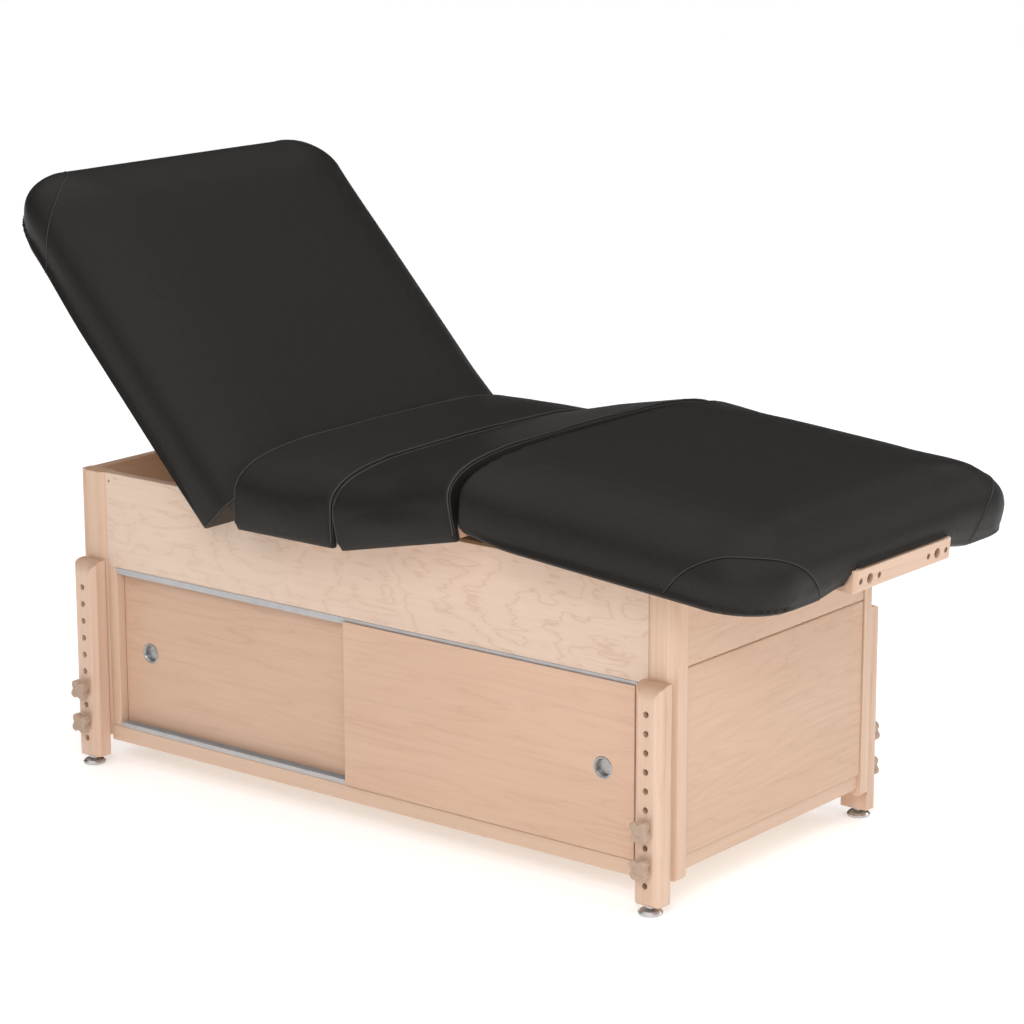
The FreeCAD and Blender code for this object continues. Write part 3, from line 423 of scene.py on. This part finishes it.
# ---------------------------------------------------------------- hinges and links
# Stepping hinges of pressed steel for the back and the knee, a piano hinge between knee and leg
# section, and two flat links that carry the leg section, all plated with zinc.
for piece in ("back_hinge_arms", "back_hinge_brackets", "knee_hinge_arms", "knee_hinge_brackets", "hinge_pins",
              "knee_hinge_leaf", "legrest_hinge_leaf", "legrest_hinge_pin", "prop_links", "link_brackets",
              "legrest_brackets"):
    dress(piece, zinc)


# ---------------------------------------------------------------- outlet board
# A maple board at the foot end with two bores for the rods of a face rest. Screws hold it to the
# cleat behind it; they are drawn dark brown, as painted shade of the recesses they sit in.
outlet_maple = maple("outlet_maple", (0.74, 0.52, 0.385, 1), (0.61, 0.395, 0.268, 1), Y, ring=(0.9, 24.0, 5.0))
break_edges("outlet_board", 0.0012, outlet_maple)
dress("outlet_cleat", outlet_maple)
# The screws are coloured dark brown: painted shade of their recesses.
dress("outlet_screws", plated_steel("bronzed_screw", (0.20, 0.135, 0.095, 1), 0.42))


# ---------------------------------------------------------------- padded top
# Four cushions of firm foam, each in a sewn cover of black vinyl that is drawn over the edges of its deck.
# The covers are laid over the foam flat, filled until they are taut, and raised again.
HALF_WIDTH = 0.400
CORNER_RADIUS = 0.105
HEM = 0.534
BACK_END = -0.9824
SEWN = "_sewn"


def vinyl(name, tone, grey=0.0):
    """Black vinyl with a pebbled grain. tone darkens it, as painted shade in the groove of a seam, and grey
    lightens it, as a painted highlight on a welt or fold.
    """
    material, tree, main = shader(name)

    def black(red, green, blue):
        return (tone * red + grey, tone * green + grey, tone * blue + grey, 1)

    place = step(tree, "TexCoord", {})["Object"]
    warp = step(tree, "TexNoise", {"Vector": place, "Scale": 90.0, "Detail": 2.0})["Color"]
    bent = step(tree, "VectorMath", {0: warp, "Scale": 0.004}, operation="SCALE")[0]
    bent = step(tree, "VectorMath", {0: place, 1: bent}, operation="ADD")[0]
    pebble = step(tree, "TexVoronoi", {"Vector": bent, "Scale": 620.0}, feature="DISTANCE_TO_EDGE")[0]
    pebble = spread(tree, pebble, 0.0, 0.22, 0.0, 1.0)
    pull = noise(tree, place, 11.0, 3.0)
    cloud = noise(tree, place, 3.2, 3.0)
    colour = mixed(tree, cloud, black(0.0172, 0.0139, 0.0116), black(0.0208, 0.0170, 0.0144))
    # The grooves between the pebbles are drawn darker: painted shade in the hollows of the grain.
    colour = mixed(tree, pebble, black(0.0098, 0.0080, 0.0067), colour)
    rough = spread(tree, pebble, 0.0, 1.0, 0.52, 0.42)
    grain = step(tree, "Bump", {"Strength": 0.45, "Distance": 0.0004, "Height": pebble})[0]
    relief = step(tree, "Bump", {"Strength": 0.16, "Distance": 0.010, "Height": pull, "Normal": grain})[0]
    surface(tree, main, colour, rough, relief)
    main.inputs["Specular IOR Level"].default_value = 0.21
    return material


black_vinyl = vinyl("black_vinyl", 1.0)


def lie_flat(degrees, pivot):
    """The turn that lays a raised section of the top flat about its hinge."""
    at = Matrix.Translation(Vector(pivot))
    return at @ Matrix.Rotation(math.radians(degrees), 4, "Y") @ at.inverted()


BACK_FLAT = lie_flat(-47.0, (-0.3238, 0.0, 0.6060))
KNEE_FLAT = lie_flat(12.3, (-0.0304, 0.0, 0.5870))
LEG_FLAT = lie_flat(-4.7, (0.214878, 0.0, 0.617758))
SEAT_FLAT = Matrix.Identity(4)


def welded(node, flat):
    """The solid of a cushion, laid flat, with its faces joined."""
    shape = bmesh.new()
    shape.from_mesh(nodes[node].data)
    shape.transform(flat)
    bmesh.ops.remove_doubles(shape, verts=shape.verts, dist=1e-5)
    return shape


def cover_mesh(name, shape, voxel, rounds):
    """A cover of even squares laid over a solid, its edges rounded by a few passes."""
    solid = bpy.data.meshes.new(name)
    shape.to_mesh(solid)
    piece = bpy.data.objects.new(name, solid)
    scene.collection.objects.link(piece)
    skin = piece.modifiers.new("skin", "REMESH")
    skin.mode = "VOXEL"
    skin.voxel_size = voxel
    ease = piece.modifiers.new("ease", "SMOOTH")
    ease.factor = 0.5
    ease.iterations = rounds
    laid = piece.evaluated_get(bpy.context.evaluated_depsgraph_get())
    piece.data = bpy.data.meshes.new_from_object(laid)
    piece.modifiers.clear()
    bpy.data.meshes.remove(solid)
    piece.data.name = name
    return piece


def upper_side(mesh, low):
    """For each point: is it on the free upper side of the cushion, not glued down on its deck?"""
    return [v.normal.z > -0.30 and v.co.z > low for v in mesh.vertices]


def swell(name, shape, low):
    """Fills a coarse cover with pressure and gives its points with the way that each one moved."""
    coarse, last_frame, passes = 0.010, 20, 12
    piece = cover_mesh(name, shape, coarse, rounds=2)
    mesh = piece.data
    start = [v.co.copy() for v in mesh.vertices]
    free = upper_side(mesh, low)
    glued = piece.vertex_groups.new(name="glued")
    glued.add([i for i, f in enumerate(free) if not f], 1.0, "REPLACE")
    fill = piece.modifiers.new("fill", "CLOTH")
    fill.settings.use_pressure = True
    fill.settings.uniform_pressure_force = 4.0
    fill.settings.effector_weights.gravity = 0.0
    fill.settings.vertex_group_mass = "glued"
    fill.settings.bending_stiffness = 6.0
    fill.settings.quality = 4
    fill.point_cache.frame_start = 1
    fill.point_cache.frame_end = last_frame
    for number in range(1, last_frame + 1):
        scene.frame_set(number)
    full = piece.evaluated_get(bpy.context.evaluated_depsgraph_get())
    moved = [v.co - a if f else Vector() for v, a, f in zip(full.data.vertices, start, free)]
    piece.modifiers.clear()
    scene.frame_set(1)
    beside = [[] for m in moved]
    for edge in mesh.edges:
        one, two = edge.vertices
        beside[one].append(two)
        beside[two].append(one)
    for number in range(passes):
        moved = [(m + sum((moved[j] for j in js), Vector())) / (1 + len(js)) for m, js in zip(moved, beside)]
    bpy.data.objects.remove(piece)
    bpy.data.meshes.remove(mesh)
    return start, moved


def eased(value, start, end):
    """A share that goes smoothly from 0 at start to 1 at end."""
    share = min(max((value - start) / (end - start), 0.0), 1.0)
    return share * share * (3.0 - 2.0 * share)


def from_hinge(x, hinges):
    """How far a point along the table is from the nearest hinged end of its cushion."""
    return min(abs(x - hinge) for hinge in hinges)


def plump(cover, hinges, side, end=0.0, end_x=None, way=1, tuck=0.0, drop=0.0):
    """Lets the foam belly out: the long sides by side, the free end by end. The hem of the free end, which
    is at end_x, is tucked under by tuck, and the skirt beside the outlet board hangs lower by drop."""
    low = min(v.co.z for v in cover.vertices)
    high = max(v.co.z for v in cover.vertices)
    moves = []
    for vertex in cover.vertices:
        at, normal = vertex.co, vertex.normal
        level = (at.z - low) / (high - low)
        clear = eased(from_hinge(at.x, hinges), 0.0, 0.12)
        gap, out, tip = HALF_WIDTH - abs(at.y), Vector((0.0, math.copysign(1.0, at.y))), 0.0
        if end_x is not None:
            ahead = way * (at.x - end_x)
            tip = eased(ahead, -0.30, -0.08)
            over, beside = ahead + CORNER_RADIUS, abs(at.y) - HALF_WIDTH + CORNER_RADIUS
            if over > 0.0 and beside > 0.0:
                gap = CORNER_RADIUS - math.hypot(over, beside)
                out = Vector((way * over, math.copysign(beside, at.y))).normalized()
            elif -ahead < gap:
                gap, out = -ahead, Vector((way, 0.0))
        skirt = 1.0 - eased(gap, 0.020, 0.034)
        board = 1.0 - tip * (1.0 - eased(abs(at.y), 0.16, 0.24))
        lean = eased(abs(out.x), 0.0, 0.8)
        belly = math.sin(math.pi * level ** 0.65) * clear * (side + (end - side) * lean)
        under = tuck * tip * (1.0 - eased(gap, 0.004, 0.018)) * (1.0 - eased(level, 0.0, 0.4))
        sag = drop * skirt * board * clear * (1.0 - eased(level, 0.0, 0.6))
        sideways = (normal.x * belly - out.x * under, normal.y * belly - out.y * under)
        moves.append(Vector((*sideways, -sag)))
    for vertex, move in zip(cover.vertices, moves):
        vertex.co += move


def stuffed(node, flat, voxel, cap, hinges, low=HEM, **belly):
    """A cushion: a cover over the foam, drawn in a little and then filled until it is taut. No point moves
    further than cap, and hardly at the hinges."""
    name = node + SEWN
    shape = welded(node, flat)
    piece = cover_mesh(name, shape, voxel, rounds=3)
    cover = piece.data
    free = upper_side(cover, low)
    room = [cap * (0.05 + 0.95 * eased(from_hinge(v.co.x, hinges), 0.0, 0.16)) for v in cover.vertices]
    before = [v.co.copy() for v in cover.vertices]
    inward = [v.normal * (0.45 * r) if f else Vector() for v, r, f in zip(cover.vertices, room, free)]
    plump(cover, hinges, **belly)
    for vertex, pull in zip(cover.vertices, inward):
        vertex.co -= pull
    start, moved = swell(name + "_fill", shape, low)
    spots = KDTree(len(start))
    for number, at in enumerate(start):
        spots.insert(at, number)
    spots.balance()
    for vertex, at, most, f in zip(cover.vertices, before, room, free):
        if f:
            close = [(moved[n], 1.0 / (d + 0.001)) for spot, n, d in spots.find_n(at, 4)]
            push = sum((m * w for m, w in close), Vector()) / sum(w for m, w in close)
            vertex.co += push.normalized() * min(push.length, most)
    shape.free()
    cover.transform(flat.inverted())
    cover.materials.clear()
    cover.materials.append(black_vinyl)
    for face in cover.polygons:
        face.use_smooth = True
        face.material_index = 0
    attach(piece, BODY_OF[node])
    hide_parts(node)
    return piece


back_cushion = stuffed("back_cushion", BACK_FLAT, voxel=0.0055, cap=0.006, hinges=(-0.2724,),
                       side=0.005, end=0.021, end_x=BACK_END, way=-1, tuck=0.010)
seat_cushion = stuffed("seat_cushion", SEAT_FLAT, voxel=0.0045, cap=0.005, hinges=(-0.2690, -0.0470), side=0.005)
knee_cushion = stuffed("knee_cushion", KNEE_FLAT, voxel=0.0045, cap=0.005, hinges=(-0.0436, 0.2141), side=0.005)
leg_cushion = stuffed("legrest_cushion", LEG_FLAT, voxel=0.0055, cap=0.006, hinges=(0.2166,), low=0.604,
                      side=0.005, end=0.014, end_x=0.8126, tuck=0.004, drop=0.010)


# ---------------------------------------------------------------- welts and corner seams
# The end panels are sewn to the covers with a narrow welt that shows as a fine cord along each fold, and
# the free corners of the back and the leg section have a curved patch, sewn in with the same seam. The welts,
# the rows of thread and the folds are drawn in a paler vinyl as a painted highlight, and a very dark line
# under each corner fold is painted shade of the seam's groove.
def sewn_edge(node, flat, x_low, x_high, z_low):
    """The sharp edge between a cover and its end panel, from the near hem over the top to the far hem."""
    folded = math.radians(18)
    shape = welded(node, flat)
    beside = {}
    for edge in shape.edges:
        one, two = edge.verts
        if len(edge.link_faces) == 2 and edge.calc_face_angle(0.0) > folded and all(
                x_low < v.co.x < x_high and v.co.z > z_low for v in (one, two)):
            beside.setdefault(one.index, []).append(two.index)
            beside.setdefault(two.index, []).append(one.index)
    shape.verts.ensure_lookup_table()
    place = {i: shape.verts[i].co.copy() for i in beside}
    shape.free()
    here = min((i for i in place if place[i].y < -0.36), key=lambda i: place[i].z)
    path, seen = [place[here]], {here}
    while True:
        ahead = [i for i in beside[here] if i not in seen]
        if not ahead:
            return path
        last = path[-1]
        onward = Vector((0, 1, 0.4 if last.y < 0 else -0.4))
        here = max(ahead, key=lambda i: (place[i] - last).dot(onward))
        seen.add(here)
        path.append(place[here])


def evenly(path, gap):
    """Points at even distances along a path."""
    out, left = [path[0].copy()], gap
    for one, two in zip(path[:-1], path[1:]):
        run = (two - one).length
        while run >= left > 0:
            one = one.lerp(two, left / run)
            run = (two - one).length
            out.append(one.copy())
            left = gap
        left -= run
    return out


# A paler grey vinyl for the welts, the rows of thread and the folds: a painted highlight.
rubbed_vinyl = vinyl("rubbed_vinyl", 1.0, grey=0.052)
# A very dark vinyl for the line under each corner fold: painted shade of the seam's groove.
seam_thread = vinyl("seam_thread", 0.25)


def sewn_line(name, pad, flat, path, radius, proud, finish):
    """A fine welt or thread, sewn along a path over a cushion's cover and standing proud of it."""
    skin = BVHTree.FromObject(pad, bpy.context.evaluated_depsgraph_get())
    raised = flat.inverted()
    spots = []
    for at in evenly(path, 0.005):
        near, normal = skin.find_nearest(raised @ at)[:2]
        spots.append(near + normal * proud)
    for number in range(4):
        between = [(a + b * 2 + c) / 4 for a, b, c in zip(spots, spots[1:], spots[2:])]
        spots = [spots[0]] + between + [spots[-1]]
    run = bpy.data.curves.new(name, "CURVE")
    run.dimensions = "3D"
    run.bevel_depth = radius
    run.bevel_resolution = 2
    run.use_fill_caps = True
    line = run.splines.new("POLY")
    line.points.add(len(spots) - 1)
    for point, at in zip(line.points, spots):
        point.co = (*at, 1.0)
    run.materials.append(finish)
    piece = bpy.data.objects.new(name, run)
    scene.collection.objects.link(piece)
    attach(piece, BODY_OF[pad.name.replace(SEWN, "")])


def inside(path, gap):
    """The same path, moved on to the end panel by a small gap."""
    moved = []
    for before, at, after in zip(path, path[1:], path[2:]):
        run = after - before
        across = Vector((0.0, run.z, -run.y))
        moved.append(at + across.normalized() * gap)
    return moved


def welted(name, pad, flat, x_low, x_high, z_low=HEM):
    """The welt along the edge of an end panel, with the row of thread that holds it, both drawn in the paler
    vinyl as a painted highlight.
    """
    edge = sewn_edge(pad.name.replace(SEWN, ""), flat, x_low, x_high, z_low)
    row = inside(evenly(edge, 0.004), 0.006)
    sewn_line(name + "_welt", pad, flat, edge, radius=0.0011, proud=0.0009, finish=rubbed_vinyl)
    sewn_line(name + "_thread", pad, flat, row, radius=0.0006, proud=0.0003, finish=rubbed_vinyl)


welted("back", back_cushion, BACK_FLAT, x_low=-0.345, x_high=-0.25)
welted("seat_rear", seat_cushion, SEAT_FLAT, x_low=-0.275, x_high=-0.245)
welted("seat_front", seat_cushion, SEAT_FLAT, x_low=-0.075, x_high=-0.04)
welted("knee_rear", knee_cushion, KNEE_FLAT, x_low=-0.06, x_high=-0.02)
welted("knee_front", knee_cushion, KNEE_FLAT, x_low=0.19, x_high=0.24)
welted("leg_rear", leg_cushion, LEG_FLAT, x_low=0.205, x_high=0.245, z_low=0.612)


def corner_seam(name, pad, flat, end, way, side, low, rise, power, reach, peak=0.5):
    """The arched seam of a corner patch: from the hem of the long side over the corner to the end's hem.
    It rises by rise from low, highest at the share peak of its length, and takes reach of side and end."""
    skin = BVHTree.FromObject(pad, bpy.context.evaluated_depsgraph_get())
    raised = flat.inverted()
    run = reach - CORNER_RADIUS
    total = 2 * run + CORNER_RADIUS * math.pi / 2
    stitches, stand_off, depth = 60, 0.06, 0.3
    path = []
    for number in range(stitches + 1):
        s = total * number / stitches
        if s < run:
            x, y, n = end - way * (reach - s), -side * HALF_WIDTH, (0.0, side)
        elif s > total - run:
            x, y, n = end, -side * (HALF_WIDTH - CORNER_RADIUS - (s - total + run)), (-way, 0.0)
        else:
            angle = (s - run) / CORNER_RADIUS
            x = end - way * CORNER_RADIUS * (1 - math.sin(angle))
            y = -side * (HALF_WIDTH - CORNER_RADIUS * (1 - math.cos(angle)))
            n = (-way * math.sin(angle), side * math.cos(angle))
        share = min(s / (total * peak), (total - s) / (total * (1.0 - peak)))
        height = low + rise * (1.0 - (1.0 - share) ** power)
        inward = Vector((*n, 0.0))
        start = Vector((x, y, height)) - inward * stand_off
        hit = skin.ray_cast(raised @ start, raised.to_3x3() @ inward, depth)[0]
        if hit is not None:
            path.append(flat @ hit)
    # The fold line is drawn pale, as a painted highlight, and the line of the seam below it very dark, as
    # painted shade of its groove.
    fold = [p + Vector((0.0, 0.0, 0.0012)) for p in path]
    thread = [p - Vector((0.0, 0.0, 0.0010)) for p in path]
    sewn_line(name + "_fold", pad, flat, fold, radius=0.0008, proud=0.0005, finish=rubbed_vinyl)
    sewn_line(name + "_thread", pad, flat, thread, radius=0.0011, proud=0.0003, finish=seam_thread)


for side, label in ((1, "near"), (-1, "far")):
    corner_seam("leg_corner_seam_" + label, leg_cushion, LEG_FLAT, end=0.8125, way=1, side=side,
                low=0.595, rise=0.086, power=3.0, reach=0.181)
    corner_seam("back_corner_seam_" + label, back_cushion, BACK_FLAT, end=BACK_END, way=-1, side=side,
                low=HEM, rise=0.098, power=3.2, reach=0.150, peak=0.64)
